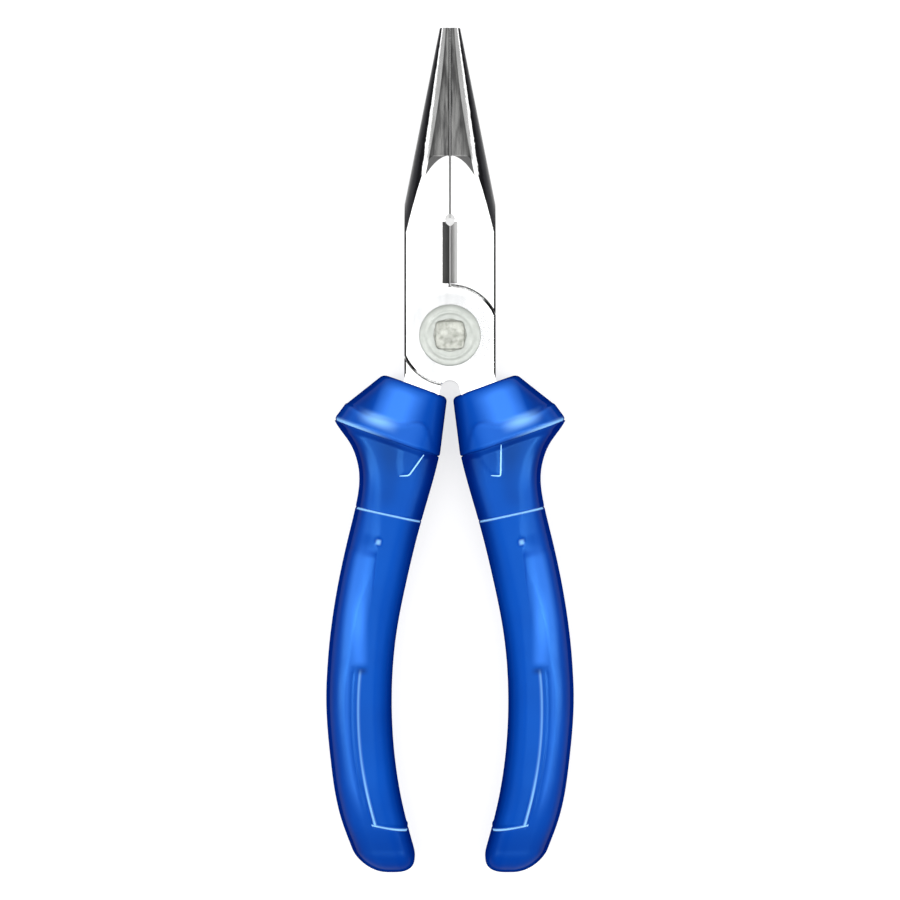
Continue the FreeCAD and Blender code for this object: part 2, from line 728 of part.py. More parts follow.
def build(doc):
    """Every piece of the pliers, in place."""
    d = Dims(doc)
    front = build_lever(doc, "front_lever", d, d.rivet_round)
    rear = build_lever(doc, "rear_lever", d, d.rivet_round + d.rivet_fit)
    rivet = build_rivet(doc, "pivot_rivet", d)
    washer = build_washer(doc, "rivet_washer", d)
    right = build_grip(doc, "right", d)
    left = build_grip(doc, "left", d)
    return [
        place(front, "front_lever", d),
        place(rear, "rear_lever", d, turned=True),
        place(rivet, "pivot_rivet", d),
        place(washer, "rivet_washer", d),
        place(right[0], "right_grip_sleeve", d),
        place(right[1], "right_grip_inlay", d),
        place(left[0], "left_grip_sleeve", d, turned=True),
        place(left[1], "left_grip_inlay", d, turned=True),
    ]


def check(doc, pieces):
    """Stops the build if a feature failed or a piece is not a valid solid."""
    for thing in doc.Objects:
        if {"Invalid", "Error"} & set(thing.State):
            raise RuntimeError(f"{thing.Name} failed: {thing.State}")
    for piece in pieces:
        if piece.Shape.isNull() or not piece.Shape.isValid() or not piece.Shape.Solids:
            raise RuntimeError(f"{piece.Label} has no valid solid")


def main():
    doc = FreeCAD.newDocument("long_nose_pliers")
    pieces = build(doc)
    doc.recompute()
    check(doc, pieces)
    os.makedirs(OUT_FOLDER, exist_ok=True)
    for piece in pieces:
        piece.Shape.exportStep(os.path.join(OUT_FOLDER, f"{piece.Label}.step"))
        print(f"{piece.Label}: {len(piece.Shape.Solids)} solid, {piece.Shape.Volume:.1f} mm3")


main()
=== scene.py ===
"""Looks for a pair of long nose pliers with side cutters, lying on a white floor and seen from above.

Sizes are in millimetres about the pivot: its axis is at x = y = 0, +y runs towards the tips and +z towards
the camera. They go into the frame's metres as each mesh is made. The left grip is the right grip turned
half a turn about y.
"""

import json
import math

import bmesh
import bpy
import numpy as np
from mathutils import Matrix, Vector
from mathutils.bvhtree import BVHTree


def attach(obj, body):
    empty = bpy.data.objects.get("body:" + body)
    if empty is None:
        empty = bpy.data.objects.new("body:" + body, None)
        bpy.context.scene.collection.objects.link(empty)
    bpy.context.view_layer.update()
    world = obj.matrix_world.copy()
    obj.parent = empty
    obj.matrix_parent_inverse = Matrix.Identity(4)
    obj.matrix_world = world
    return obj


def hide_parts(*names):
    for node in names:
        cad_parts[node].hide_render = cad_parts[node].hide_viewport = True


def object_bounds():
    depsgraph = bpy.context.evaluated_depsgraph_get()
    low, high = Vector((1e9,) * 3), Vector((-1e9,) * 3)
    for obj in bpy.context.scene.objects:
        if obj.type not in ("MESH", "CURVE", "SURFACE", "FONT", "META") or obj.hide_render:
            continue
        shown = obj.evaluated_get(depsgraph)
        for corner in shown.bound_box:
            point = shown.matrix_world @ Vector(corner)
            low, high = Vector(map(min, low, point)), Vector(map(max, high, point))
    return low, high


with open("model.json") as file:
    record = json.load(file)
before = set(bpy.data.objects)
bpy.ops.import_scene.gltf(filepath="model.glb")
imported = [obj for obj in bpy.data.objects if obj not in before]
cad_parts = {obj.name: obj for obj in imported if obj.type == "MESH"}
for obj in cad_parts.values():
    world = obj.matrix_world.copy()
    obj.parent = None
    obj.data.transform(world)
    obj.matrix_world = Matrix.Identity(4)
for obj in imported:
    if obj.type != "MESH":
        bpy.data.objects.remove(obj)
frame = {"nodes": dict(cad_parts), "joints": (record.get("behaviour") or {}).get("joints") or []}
cad_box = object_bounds()

MM = 0.001
PIVOT = np.array(frame["joints"][0]["pos_m"])

# ---------------------------------------------------------------- sizes of the grips

HALF_THICK = 6.75            # half the thickness where a grip rests: its lip and its palm
COLLAR_TILT = 20.0           # degrees between the collar's axis and the pliers' length
MOUTH = (6.56, -9.5)         # centre of a grip's mouth
MOUTH_ROUND = 0.7
CONE_END = 7.1               # down the collar's axis, where the cone meets the rim band
LIP = 11.0                   # down the collar's axis, where the rim band ends
LIP_ROUND = 0.5
COLLAR_OUT = (6.5, 10.85, 12.0)      # from the axis to the outer side: mouth, cone's end and lip
COLLAR_IN = (-6.4, -8.9)             # from the axis to the inner side: mouth and lip
COLLAR_RISE = (5.5, 6.2, 6.5)        # half the thickness: mouth, cone's end and lip
COLLAR_ROUND_IN = 4.2
COLLAR_ROUND_OUT = 5.4
NECK_TOP = -20.1             # y of the first ring under the lip
NECK_RISE = 5.7              # half the thickness just under the lip
NECK_FLARE = 0.35            # how much thicker the neck starts, where it meets the lip
STEP_AT = -33.7              # y of the step across the neck, on the grip's centre line
PANEL_END = -92.25           # y of the inlay's bottom edge, on the grip's centre line
ROUND_IN = 4.4               # the widest rounding on the inner side
CORNER_SHARE = 0.72          # the widest rounding there, over half the thickness
LEAST_ROUND = 0.4
LEAST_FLAT = 1.2             # what the two roundings leave between them
HEEL_START = -97.0
HEEL_END = -101.6
HEEL_TIP = 11.3              # x of the heel's lowest point
CAP_SHARE = 0.12             # the heel's flat, as a share of its width
OUTER_LEAN = 0.36            # how far the outer side leans in per millimetre, at the heel
INNER_LEAN = 0.28
OUT_POWER, IN_POWER, RISE_POWER = 2, 2.4, 2.3     # how squarely the heel is rounded off, each way
INLAY_THICK = 1.15
POCKET_DEEP = 1.3
TOUCH = 1e-6                 # rows and columns this near to the seam are on it

SHARP_ANGLE = 48             # degrees between faces from which an edge is sharp

NUB = (13.4, -38.9)          # a small round nub beside the seam
NUB_RADIUS = 0.75
BEAD_TOP = 62.5              # how far below the pivot the inlay's bead starts
BAND_SPAN = (-9.4, 12.9)     # across the collar, where the rim band's edge is known
# how far each feature stands proud of the plain form, or is cut into it
BAND_LIFT = 0.3
PALM_LIFT = 0.14
PAD_LIFT = 0.16
BEAD_LIFT = 0.2
NUB_LIFT = 0.3
TAB_LIFT = 0.16
STEP_CUT = 0.1
CHANNEL_CUT = 0.34
SEAM_CUT = 0.05
FOOT_CUT = 0.1

RIB_RADIUS = 0.15
RIB_SIDES = 8
RIB_STEP = 0.12
RIB_PASSES = 9               # rounds of smoothing, which round the rib's corners

# (y, x) points that the grip's two sides run smoothly through, below the lip
OUTER_SIDE = [
    (-14.5, 22.6), (-17.0, 21.3), (-20.0, 19.15), (-23.0, 17.8), (-26.5, 17.2), (-32.0, 17.85), (-38.5, 19.4),
    (-46.0, 21.05), (-56.5, 22.7), (-69.5, 23.4), (-82.0, 22.4), (-91.0, 20.75), (-97.0, 18.6),
]
INNER_SIDE = [
    (-15.5, 1.0), (-20.0, 1.55), (-26.0, 2.85), (-32.0, 4.55), (-38.0, 6.25), (-46.0, 8.2), (-56.0, 10.2),
    (-69.5, 11.2), (-82.0, 10.4), (-91.0, 8.7), (-97.0, 7.0),
]
# (y, half thickness) down the grip's centre line
RISE = [
    (-20.0, NECK_RISE), (-27.0, 5.75), (-35.0, 6.1), (-46.0, 6.5), (-58.0, 6.72), (-69.5, HALF_THICK),
    (-81.0, 6.7), (-90.0, 6.35), (-97.0, 5.6),
]
# (y, width) of the rounding on the outer side: broad over the upper palm
ROUND_OUT = [
    (-20.0, 5.2), (-34.0, 5.6), (-42.0, 8.4), (-54.0, 8.4), (-63.0, 6.4), (-80.0, 6.0), (-97.0, 5.0),
]
# (y, x) of the seam between the hard sleeve and the soft inlay
SEAM = [
    (-10.0, 9.0), (-20.0, 11.0), (-33.2, 12.7), (-44.0, 13.9), (-52.0, 15.0), (-60.0, 16.85), (-70.0, 17.7),
    (-79.0, 17.2), (-86.0, 16.0), (-92.2, 14.4), (-97.0, 12.9), (-101.6, 11.6),
]
# (y, degrees) between a cross-section and the x axis
TILT = [
    (-20.0, 19.5), (STEP_AT, 12.2), (-60.0, 12.0), (PANEL_END, 11.2), (HEEL_START, 0.0), (HEEL_END, 0.0),
]
# corners of the tab under the lip: top and foot of its slanted edge, then foot and top of its upright edge
TAB = [(4.9, -22.5), (7.7, -26.4), (9.5, -26.5), (9.6, -20.6)]
# (across, down the axis) points of the rim band's wavy top edge, in the collar's own frame
BAND_TOP = [
    (-9.5, 11.0), (-7.1, 9.6), (-4.6, 6.4), (-2.3, 6.2), (-0.2, 7.3), (3.0, 7.6), (6.0, 8.0), (11.0, 7.2),
    (13.0, 7.2),
]

SECTION_STEPS = 60           # points on each stretch of a cross-section
SECTION_POWER = 2.35         # 2 makes a section's corners round, and more makes them squarer
CORNER_RISE = 0.93           # the most that a corner falls, over half the thickness
CROWN = 0.02                 # how much lower the front is at its edges, as a share
# how far the finer columns and rows lie from the edge that they are on both sides of
SEAM_STEPS = (0.0, 0.04, 0.1, 0.18, 0.28, 0.4, 0.55, 0.75, 1.0, 1.3)
FINE_REACH = SEAM_STEPS[-1]
INNER_COLUMNS = 24
OUTER_COLUMNS = 30
ROUND_ROWS = 7               # rings in a quarter turn
HEEL_ROWS = 26
MEET_PASSES = 12             # enough for a section's end to settle on the side's curve

# ---------------------------------------------------------------- sizes of the rivet and the levers

SEAT = 4.52                  # half the levers' thickness, with the rivet's clearance
HEAD_RADIUS = 5.8
HEAD_RISE = 1.05
HEAD_EDGE = 0.42             # how far the dome's rim stands off the lever
HEAD_FOOT = 0.2              # the height of the straight edge under the dome
SHANK_RADIUS = 3.0
WASHER_TOP = 5.12
WASHER_EDGE = 0.08           # the bevel under the washer
WASHER_ROLL = (0.9, 0.3)     # how wide and how high its rolled rim is
WASHER_FIT = 0.03            # its clearance on the shank
GROOVE_AT = 4.3
GROOVE_DEEP = 0.09
SQUARE_HALF = 2.75
SQUARE_RISE = 0.5
SQUARE_ROUND = 0.36
DISH_DEEP = 0.2
RIVET_SIDES = 128

TIP_REACH = 58.4
ARCH_TOP = 33.8              # where the grey front of the nose ends, on the middle
CUT_TOP = 21.6               # where the cutter ends
CUT_FOOT = 9.0               # where the cutter starts
CUT_HALF = 1.7               # half the cutter's width
DISC_ROUND = 9.4             # radius of the joint's lapped disc

# ---------------------------------------------------------------- colours

# painted shade on the grips' sides, where they face sideways
SIDE_SHADE_BLUE = (0.0, 0.012, 0.15)
# painted shade, where the tone attribute is under 0.5
PAINTED_SHADE_BLUE = (0.0, 0.006, 0.11)
# painted highlight, where the tone attribute is over 0.5
PAINTED_LIGHT_BLUE = (0.035, 0.17, 0.68)
# painted highlight on the moulding's edges and on the ribs
PAINTED_HIGHLIGHT_BLUE = (0.3, 0.62, 1.0)
GLOSS_BLUE = (0.1, 0.42, 1.0, 1.0)
SLEEVE_BLUES = ((0.0, 0.035, 0.275), (0.0, 0.045, 0.33))
INLAY_BLUES = ((0.0, 0.038, 0.285), (0.0, 0.05, 0.345))
RIVET_GREYS = ((0.23, 0.24, 0.21), (0.44, 0.45, 0.41))
WASHER_GREYS = ((0.36, 0.38, 0.355), (0.41, 0.43, 0.405))
GROUND_GREYS = ((0.86, 0.86, 0.855), (0.92, 0.92, 0.915))
STREAK_GREYS = ((0.17, 0.17, 0.17), (0.56, 0.56, 0.55))
NOSE_EDGE_GREY = (0.08, 0.08, 0.08)
ARCH_GREY = (0.09, 0.09, 0.09)
# painted shade on the lapped disc round the rivet
DISC_SHADE_GREY = (0.47, 0.475, 0.48)
# painted shade in the gap between the jaws
SEAM_SHADE_GREY = (0.03, 0.03, 0.03)
# painted shade in the gap round the lapped disc
RIM_SHADE_GREY = (0.1, 0.1, 0.1)
# painted shade on steel that faces outward
FLANK_SHADE_GREY = (0.02, 0.02, 0.023)
# lit and shaded copies of one bevel: painted shade on the front lever's cutter bevel, painted light on the
# rear lever's
BEVEL_LIGHT_AND_SHADE_GREYS = {"front_lever": (0.03, 0.03, 0.03), "rear_lever": (0.95, 0.95, 0.94)}

# ---------------------------------------------------------------- the view

LENS, SENSOR = 100, 36
LENGTH_SHARE = 0.93556       # the object's length over the height of the view
FLOOR_HALF = 1.5             # metres


# ---------------------------------------------------------------- curves and sections


def smooth(points):
    """A function that runs smoothly through (place, value) points: a natural cubic spline."""
    places, values = (np.array(column, float) for column in zip(*sorted(points)))
    gaps = np.diff(places)
    count = len(places)
    system = np.eye(count)
    target = np.zeros(count)
    for i in range(1, count - 1):
        system[i, i - 1:i + 2] = gaps[i - 1], 2 * (gaps[i - 1] + gaps[i]), gaps[i]
        target[i] = 6 * ((values[i + 1] - values[i]) / gaps[i] - (values[i] - values[i - 1]) / gaps[i - 1])
    bends = np.linalg.solve(system, target)

    def at(place):
        place = np.asarray(place, float)
        i = np.clip(np.searchsorted(places, place) - 1, 0, count - 2)
        left, right = place - places[i], places[i + 1] - place
        curve = (bends[i] * right**3 + bends[i + 1] * left**3) / (6 * gaps[i])
        start = (values[i] / gaps[i] - bends[i] * gaps[i] / 6) * right
        end = (values[i + 1] / gaps[i] - bends[i + 1] * gaps[i] / 6) * left
        return curve + start + end

    return at


def ramp(value, low, high):
    """0 below low, 1 above high, and a smooth step between."""
    share = np.clip((np.asarray(value, float) - low) / (high - low), 0, 1)
    return share * share * (3 - 2 * share)


def bump(value, centre, width):
    """1 at centre, falling smoothly to 0 at width either side."""
    return np.clip(1 - ((np.asarray(value, float) - centre) / width) ** 2, 0, 1) ** 2


outer_side = smooth(OUTER_SIDE)
inner_side = smooth(INNER_SIDE)
rise_at = smooth(RISE)
round_out_at = smooth(ROUND_OUT)
seam_at = smooth(SEAM)
band_top = smooth(BAND_TOP)


def centre_x(y):
    return (outer_side(y) + inner_side(y)) / 2


def half_section(u_in, u_out, rise, round_in, round_out):
    """The front half of a cross-section, from outer middle to inner middle, as (across, out) points."""
    turn = np.linspace(0, math.pi / 2, SECTION_STEPS)
    power = 2 / SECTION_POWER
    bow, lift = np.cos(turn) ** power, np.sin(turn) ** power
    fall_out, fall_in = min(round_out, CORNER_RISE * rise), min(round_in, CORNER_RISE * rise)
    outer = np.column_stack((u_out - round_out * (1 - bow), rise - fall_out * (1 - lift)))
    inner = np.column_stack((u_in + round_in * (1 - bow), rise - fall_in * (1 - lift)))[::-1]
    across = np.linspace(outer[-1, 0], inner[0, 0], SECTION_STEPS)[1:-1]
    top = np.column_stack((across, np.full(len(across), rise)))
    points = np.vstack(([[u_out, 0.0]], outer, top, inner, [[u_in, 0.0]]))
    middle, half = (u_in + u_out) / 2, (u_out - u_in) / 2
    points[:, 1] *= 1 - CROWN * ((points[:, 0] - middle) / half) ** 2
    return points


def column_lengths(seam_length, total):
    """Arc lengths of the columns, from the outer middle to the inner middle, close together at the seam."""
    steps = np.array(SEAM_STEPS)
    before = np.linspace(0, seam_length - FINE_REACH, OUTER_COLUMNS)[:-1]
    after = np.linspace(seam_length + FINE_REACH, total, INNER_COLUMNS)[1:]
    return np.concatenate((before, seam_length - steps[::-1], seam_length + steps[1:], after))


class Row:
    """One ring of a grip: a tilted cross-section with its centre, its half widths and its rounding."""

    def __init__(self, x, y, tilt, u_in, u_out, rise, round_in, round_out, down=None):
        self.x, self.y, self.tilt = x, y, math.radians(tilt)
        self.u_in, self.u_out, self.rise = u_in, u_out, rise
        self.round_in, self.round_out = round_in, round_out
        self.down = down          # distance down the collar's axis, or None below the collar

    def place(self, u):
        """x and y of a point that lies u across the section."""
        return self.x + u * math.cos(self.tilt), self.y + u * math.sin(self.tilt)

    def meets(self, side):
        """How far across the section a side's curve is met."""
        u = 0.0
        for _ in range(MEET_PASSES):
            u = float((side(self.y + u * math.sin(self.tilt)) - self.x) / math.cos(self.tilt))
        return u


def shrunk(row, inset):
    """The same ring, drawn in by inset."""
    row.u_in += inset
    row.u_out -= inset
    row.rise -= inset
    row.round_in = max(row.round_in - inset, LEAST_ROUND)
    row.round_out = max(row.round_out - inset, LEAST_ROUND)
    return row


def collar_row(down, inset=0.0):
    """A ring of the collar: a cone that widens outward, then the rim band down to the lip."""
    slope = math.radians(COLLAR_TILT)
    x = MOUTH[0] + down * math.sin(slope)
    y = MOUTH[1] - down * math.cos(slope)
    u_out = np.interp(down, (0, CONE_END, LIP), COLLAR_OUT)
    u_in = np.interp(down, (0, LIP), COLLAR_IN)
    rise = np.interp(down, (0, CONE_END, LIP), COLLAR_RISE)
    row = Row(x, y, COLLAR_TILT, u_in, u_out, rise, COLLAR_ROUND_IN, COLLAR_ROUND_OUT, down)
    return shrunk(row, inset)


def body_row(y, rise):
    """A ring of the grip below the collar, between its two sides."""
    tilt = np.interp(-y, [-p[0] for p in TILT], [p[1] for p in TILT])
    row = Row(float(centre_x(y)), y, tilt, 0, 0, rise, 0, 0)
    row.u_in, row.u_out = row.meets(inner_side), row.meets(outer_side)
    row.round_in = min(ROUND_IN, CORNER_SHARE * rise)
    row.round_out = min(float(round_out_at(y)), row.u_out - row.u_in - row.round_in - LEAST_FLAT)
    return row


def rounded_off(share, power):
    """1 at share 0, falling ever more steeply to the cap's share at 1."""
    return CAP_SHARE + (1 - CAP_SHARE) * (1 - share**power) ** (1 / power)


def heel_row(share):
    """A ring of the rounded heel, share of the way from its start to its end."""
    y = HEEL_START + (HEEL_END - HEEL_START) * share
    outer, inner, rise = (float(side(HEEL_START)) for side in (outer_side, inner_side, rise_at))
    outer += OUTER_LEAN * (y - HEEL_START)
    inner += INNER_LEAN * (y - HEEL_START)
    u_out = (outer - HEEL_TIP) * rounded_off(share, OUT_POWER)
    u_in = (inner - HEEL_TIP) * rounded_off(share, IN_POWER)
    wide = (u_out - u_in) / (outer - inner)
    round_in, round_out = CORNER_SHARE * rise * wide, float(round_out_at(HEEL_START)) * wide
    return Row(HEEL_TIP, y, 0.0, u_in, u_out, rise * rounded_off(share, RISE_POWER), round_in, round_out)


def spread(start, end, step):
    """Evenly spaced places from start up to, but not including, end."""
    return np.linspace(start, end, max(int(abs(end - start) / step), 2), endpoint=False)


def around(place):
    """Places close together on both sides of an edge that runs across the grip."""
    steps = np.array(SEAM_STEPS)
    return np.concatenate((place + steps[::-1], place - steps[1:]))


def grip_rows():
    """All rings from the mouth to the heel."""
    quarter = np.linspace(0, math.pi / 2, ROUND_ROWS)
    rows = [collar_row(MOUTH_ROUND * (1 - math.sin(turn)), MOUTH_ROUND * (1 - math.cos(turn)))
            for turn in quarter[::-1]]
    rows += [collar_row(down) for down in spread(0.9, 5.0, 0.3)]
    rows += [collar_row(down) for down in spread(5.0, LIP - LIP_ROUND, 0.14)]
    rows += [collar_row(LIP - LIP_ROUND * (1 - math.sin(turn)), LIP_ROUND * (1 - math.cos(turn)))
             for turn in quarter[1:]]
    heel = 1 - np.linspace(1, 0, HEEL_ROWS) ** 1.7      # closer together towards the end
    return rows + neck_rows() + palm_rows() + [heel_row(share) for share in heel]


def neck_rows():
    """Rings from under the lip to the step across the neck."""
    rows = []
    for y in np.concatenate((spread(NECK_TOP, -22.0, 0.16), spread(-22.0, STEP_AT + FINE_REACH, 0.4))):
        flare = NECK_FLARE * (1 - float(ramp(-y, -NECK_TOP, -NECK_TOP + 1.3)))
        rows.append(body_row(y, float(rise_at(y)) + flare))
    return rows


def palm_rows():
    """Rings from the step across the neck to the start of the heel."""
    places = np.concatenate((
        around(STEP_AT),
        spread(STEP_AT - FINE_REACH - 0.4, PANEL_END + FINE_REACH + 0.2, 0.42),
        around(PANEL_END),
        spread(PANEL_END - FINE_REACH - 0.3, HEEL_START, 0.4),
    ))
    return [body_row(y, float(rise_at(y))) for y in places]


# ---------------------------------------------------------------- a grip's surface


class Grid:
    """The grip's plain surface as a grid of points, with where each point is on the grip."""

    def __init__(self, rows):
        halves = [self.half(row) for row in rows]
        front = np.array([h[0] for h in halves])
        back = front[:, ::-1][:, 1:-1] * np.array([1, 1, -1])
        self.points = np.concatenate((front, back), axis=1)
        columns = self.points.shape[1]
        self.along = np.repeat(np.array([row.y for row in rows])[:, None], columns, axis=1)
        down = np.array([math.inf if row.down is None else row.down for row in rows])
        self.down = np.repeat(down[:, None], columns, axis=1)
        # along the surface from the seam, and more than 0 towards the inner side
        self.past_seam = self.mirror(np.array([h[1] for h in halves]))
        self.across = self.mirror(np.array([h[2] for h in halves]))

    @staticmethod
    def mirror(values):
        """The front half's values, and the same again for the back half."""
        return np.concatenate((values, values[:, ::-1][:, 1:-1]), axis=1)

    @staticmethod
    def half(row):
        """The points of a ring's front half, how far each is past the seam, and how far across."""
        section = half_section(row.u_in, row.u_out, row.rise, row.round_in, row.round_out)
        lengths = np.concatenate(([0], np.cumsum(np.linalg.norm(np.diff(section, axis=0), axis=1))))
        seam_u = row.meets(seam_at)
        low, high = row.u_in + 0.9 * row.round_in, row.u_out - 0.5 * row.round_out
        seam_u = min(max(seam_u, low), high)
        top = slice(SECTION_STEPS // 2, -SECTION_STEPS // 2)
        seam_length = float(np.interp(-seam_u, -section[top, 0], lengths[top]))
        columns = column_lengths(seam_length, lengths[-1])
        u, z = (np.interp(columns, lengths, section[:, k]) for k in (0, 1))
        x, y = row.place(u)
        return np.column_stack((x, y, z)), columns - seam_length, u

    def normals(self, points):
        """Outward directions at every point."""
        down = np.gradient(points, axis=0)
        wrapped = np.concatenate((points[:, -1:], points, points[:, :1]), axis=1)
        round_way = (wrapped[:, 2:] - wrapped[:, :-2]) / 2
        cross = np.cross(down, round_way)
        length = np.linalg.norm(cross, axis=2, keepdims=True)
        cross = cross / np.maximum(length, 1e-12)
        centre = points.mean(axis=1, keepdims=True)
        outward = np.sign(np.sum((points - centre) * cross, axis=2, keepdims=True))
        return cross * np.where(np.median(outward) < 0, -1, 1)


def panel_share(grid):
    """1 on the inlay's panel and 0 off it, with its edges on the seam and on the two cross edges."""
    inside = (grid.past_seam > TOUCH) & (grid.along < STEP_AT - TOUCH) & (grid.along > PANEL_END + TOUCH)
    return inside.astype(float)


def surface_shape(grid):
    """How far every point stands proud of the plain form, in millimetres."""
    y, z = grid.points[..., 1], grid.points[..., 2]
    seam, along = grid.past_seam, grid.along
    below_collar = np.isinf(grid.down)
    front = ramp(np.abs(z), 1.5, 4.0)
    # the rim band stands proud of the cone, with a wavy top edge
    edge = band_top(np.clip(grid.across, *BAND_SPAN))
    band = ramp(np.where(below_collar, 0, grid.down) - edge, -0.1, 0.7)
    lift = BAND_LIFT * ~below_collar * band * ramp(grid.across, -7.5, -4)
    # the palm is a little fuller than the neck
    palm = ramp(-along, -STEP_AT, -STEP_AT + 0.12) * (1 - ramp(-along, 92, 99))
    lift += PALM_LIFT * palm * below_collar * front
    lift -= STEP_CUT * bump(along, STEP_AT, 0.3) * below_collar
    # a raised pad along the outer spine, and the channel beside the inlay's bead
    outside = ramp(-seam, 0.05, 0.4)
    pad = ramp(-along, 41.0, 41.8) * (1 - ramp(-along, 84, 92))
    lift += PAD_LIFT * outside * pad * below_collar * front
    channel = bump(seam, -0.75, 0.8) * ramp(-y, BEAD_TOP - 0.2, BEAD_TOP + 1.1) * (1 - ramp(-y, 84, 90))
    lift -= CHANNEL_CUT * channel * below_collar
    # the bead along the inlay's outer and bottom edges
    down_bead = ramp(-y, BEAD_TOP, BEAD_TOP + 1.3) * ramp(along, PANEL_END, PANEL_END + 0.1)
    bead = bump(seam, 0.55, 0.5) * down_bead
    foot = bump(along, PANEL_END + 0.55, 0.5) * (seam > -TOUCH)
    lift += BEAD_LIFT * np.maximum(bead, foot) * panel_share(grid) * front
    # edges rounded over at the seam and at the panel's bottom end
    span = ramp(-along, 60, 63) * (along > PANEL_END - 0.5)
    lift -= SEAM_CUT * np.clip(1 - np.abs(seam) / 0.25, 0, 1) ** 2 * span
    lift -= FOOT_CUT * np.clip(1 - np.abs(along - PANEL_END) / 0.3, 0, 1) ** 2 * (seam > -0.3)
    lift += NUB_LIFT * nub_share(grid, NUB_RADIUS) * below_collar
    return lift + tab_shape(grid)


def nub_share(grid, radius):
    """1 in the middle of the nub and 0 from radius out."""
    away = np.hypot(grid.points[..., 0] - NUB[0], grid.points[..., 1] - NUB[1])
    return np.clip(1 - (away / radius) ** 2, 0, 1)


def tab_shape(grid):
    """The small trapezoid tab under the lip."""
    x, y, z = (grid.points[..., k] for k in range(3))
    (top_x, top_y), (foot_x, foot_y), _, (upright_x, _) = TAB
    slant = top_x + (y - top_y) * (foot_x - top_x) / (foot_y - top_y)
    inside = np.minimum(np.minimum(upright_x - x, x - slant), y - foot_y)
    return TAB_LIFT * ramp(inside, 0, 0.5) * (np.abs(z) > 0.75 * NECK_RISE) * np.isinf(grid.down)


def painted_highlight_share(grid):
    """Painted highlights along the moulding's edges, on the lip and the nub, and a glare on the rim band: 1
    on the line.
    """
    y, z = grid.points[..., 1], grid.points[..., 2]
    seam, along = grid.past_seam, grid.along
    front = np.abs(z) > 3.2
    step = bump(along, STEP_AT - 0.1, 0.24)
    foot = bump(along, PANEL_END + 0.2, 0.3) * (seam > -0.2)
    # the bead's painted highlight, brighter towards its lower end
    worn = 0.34 + 0.4 * ramp(-y, 78, 91)
    down_bead = ramp(-y, BEAD_TOP, BEAD_TOP + 1.5) * ramp(along, PANEL_END, PANEL_END + 0.2)
    bead = worn * bump(seam, 0.5, 0.36) * down_bead
    down = np.where(np.isinf(grid.down), 0, grid.down)
    lip = 0.75 * bump(down, LIP - 0.1, 0.35) * ramp(grid.across, 0, 9)
    nub = 0.7 * nub_share(grid, 0.8 * NUB_RADIUS)
    # a painted highlight: a glare on the rim band
    glare = 0.55 * bump(grid.across, 4.2, 4.6) * bump(down, 8.6, 1.7)
    return np.clip(np.max([step, foot, bead, lip, nub, glare], axis=0), 0, 1) * front


def painted_light_share(grid):
    """Painted light and shade on the grips: above 0.5 a painted highlight makes the blue paler, below 0.5
    painted shade makes it deeper than its middle tone.
    """
    tone = np.where(np.isfinite(grid.down), collar_painted_light(grid), palm_painted_light(grid))
    return np.clip(0.5 + tone, 0, 1)


def collar_painted_light(grid):
    """Painted highlights: a pale streak down the middle of the cone and a paler rim band; painted shade
    towards the cone's inner and outer sides.
    """
    down = np.where(np.isfinite(grid.down), grid.down, 0)
    edge = band_top(np.clip(grid.across, *BAND_SPAN))
    on_band = ramp(down - edge, -0.2, 0.8) * ramp(grid.across, -8, -4)
    streak = 0.5 * bump(grid.across, 1.6, 5.2) * ramp(down, 0.3, 2.5) * (1 - on_band)
    shade = -0.22 * (1 - ramp(grid.across, -7, -2)) - 0.3 * ramp(grid.across, 5, 8) * (1 - 0.6 * on_band)
    rim = 0.1 * on_band + 0.22 * bump(down, edge + 0.5, 1.2) * bump(grid.across, 3.5, 9)
    return 0.06 + streak + shade + rim


def palm_painted_light(grid):
    """Painted shade under the lip, along both sides, across the neck, at the heel and in a small pinch where
    the bead starts; painted highlights on the outer facet and where it narrows to the bead.
    """
    x, y, seam = grid.points[..., 0], grid.points[..., 1], grid.past_seam
    to_outer = outer_side(y) - x
    share = (x - inner_side(y)) / np.maximum(outer_side(y) - inner_side(y), 1)
    beside_bead = y < -62
    lit_inside = ramp(-seam, np.where(beside_bead, 0.9, -0.1), np.where(beside_bead, 1.7, 2.0))
    turn = 1.6 + ramp(-y, 52, 66)
    facet = lit_inside * ramp(to_outer, turn, turn + 1.8)
    upper = 0.28 * ramp(-y, 38.5, 42.5) * (1 - ramp(-y, 50, 66))
    lower = 0.16 * ramp(-y, 54, 66) * (1 - ramp(-y, 84, 92))
    pale = facet * (upper + lower) + 0.32 * bump(x, 16.9, 1.9) * ramp(-y, 47, 56) * (1 - ramp(-y, 61, 62.6))
    pinch = 0.4 * bump(x, 16.5, 1.5) * bump(y, -63.0, 0.9)
    neck = 0.16 * bump(share, 0.58, 0.2) * ramp(y, -34, -30)
    under_lip = 0.2 * ramp(y, -29, -22)
    inner_edge = 0.35 * (1 - ramp(share, 0.02, 0.3)) * (1 - ramp(-y, 34, 52))
    outer_edge = 0.45 * (1 - ramp(to_outer, 0.4, 2.4))
    heel = 0.16 * ramp(-y, 90, 97)
    return pale - pinch - neck - under_lip - inner_edge - outer_edge - heel


# ---------------------------------------------------------------- meshes


def ring_faces(rows, columns):
    """Faces between closed rings of points."""
    faces = []
    for r in range(rows - 1):
        for c in range(columns):
            following = (c + 1) % columns
            a, b = r * columns, (r + 1) * columns
            faces.append((a + c, a + following, b + following, b + c))
    return faces


def sheet_faces(rows, columns, first=0):
    """Faces of an open sheet of points, the first of which has the index first."""
    return [
        (first + r * columns + c, first + r * columns + c + 1,
         first + (r + 1) * columns + c + 1, first + (r + 1) * columns + c)
        for r in range(rows - 1) for c in range(columns - 1)
    ]


def fan(ring, centre):
    """Triangles from a ring of point indices to one point."""
    return [(ring[i], ring[(i + 1) % len(ring)], centre) for i in range(len(ring))]


